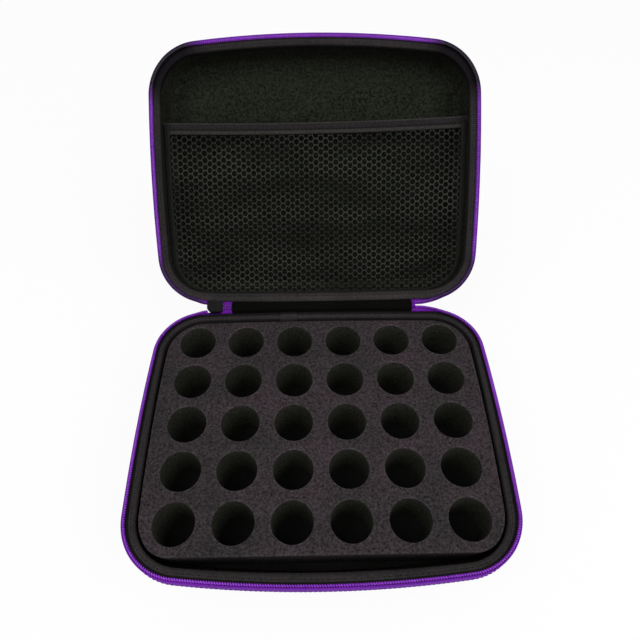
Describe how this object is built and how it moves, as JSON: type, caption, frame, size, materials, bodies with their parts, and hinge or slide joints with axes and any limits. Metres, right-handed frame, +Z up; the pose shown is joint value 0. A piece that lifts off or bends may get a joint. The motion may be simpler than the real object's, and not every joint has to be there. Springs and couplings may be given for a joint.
{
  "type": "zipped bottle carrying case",
  "caption": "Zipped moulded case, open on its fabric hinge, with a foam block of round bottle wells in the base and a mesh pocket in the lid.",
  "frame": {"origin": "centre of the base's flat bottom", "axes": "+Z up, +Y towards the hinge, +X to the right seen from the front"},
  "size_m": [0.2574, 0.3737, 0.1979],
  "materials": {
    "shell_fabric": "matte",
    "lining_fabric": "matte",
    "binding_fabric": "matte",
    "zip_tape_fabric": "matte",
    "zip_coil_nylon": "satin",
    "charcoal_foam": "matte",
    "pad_foam": "matte",
    "hinge_fabric": "matte",
    "net_yarn": "matte",
    "hem_elastic": "matte",
    "black_metal": "gloss"
  },
  "bodies": {
    "base": {"base_shell": "shell_fabric", "base_lining": "lining_fabric", "base_binding": "binding_fabric", "base_binding_lap": "binding_fabric", "base_zip_tape": "zip_tape_fabric", "base_zip_coil": "zip_coil_nylon", "bottle_foam_left": "charcoal_foam", "bottle_foam_right": "charcoal_foam", "foam_floor_pad": "pad_foam", "hinge_flap_base": "hinge_fabric", "hinge_gusset": "hinge_fabric", "zip_end_stop": "black_metal"},
    "lid": {"lid_shell": "shell_fabric", "lid_lining": "lining_fabric", "lid_binding": "binding_fabric", "lid_binding_lap": "binding_fabric", "lid_zip_tape": "zip_tape_fabric", "lid_zip_coil": "zip_coil_nylon", "hinge_flap_lid": "hinge_fabric", "pocket_net": "net_yarn", "pocket_hem": "hem_elastic", "pocket_edge_tape": "hem_elastic"},
    "slider": {"zip_slider": "black_metal", "zip_closed_chain": "zip_coil_nylon"},
    "pull": {"zip_pull": "black_metal"}
  },
  "joints": [
    {"name": "lid_hinge", "type": "hinge", "parent": "base", "child": "lid", "pos_m": [0, 0.10468, 0.055], "axis": [1, 0, 0], "range_deg": [-44, 136], "deforming": ["hinge_gusset"]},
    {"name": "slider_turn", "type": "hinge", "parent": "base", "child": "slider", "pos_m": [0, 0.10468, 0.055], "axis": [1, 0, 0], "range_deg": [-22, 68]},
    {"name": "pull_swing", "type": "hinge", "parent": "slider", "child": "pull", "pos_m": [-0.08305, 0.10602, 0.05166], "axis": [0, 0.9272, 0.3746], "range_deg": [-90, 90]}
  ],
  "couplings": [
    {"joint": "slider_turn", "follows": "lid_hinge", "ratio": 0.5}
  ]
}
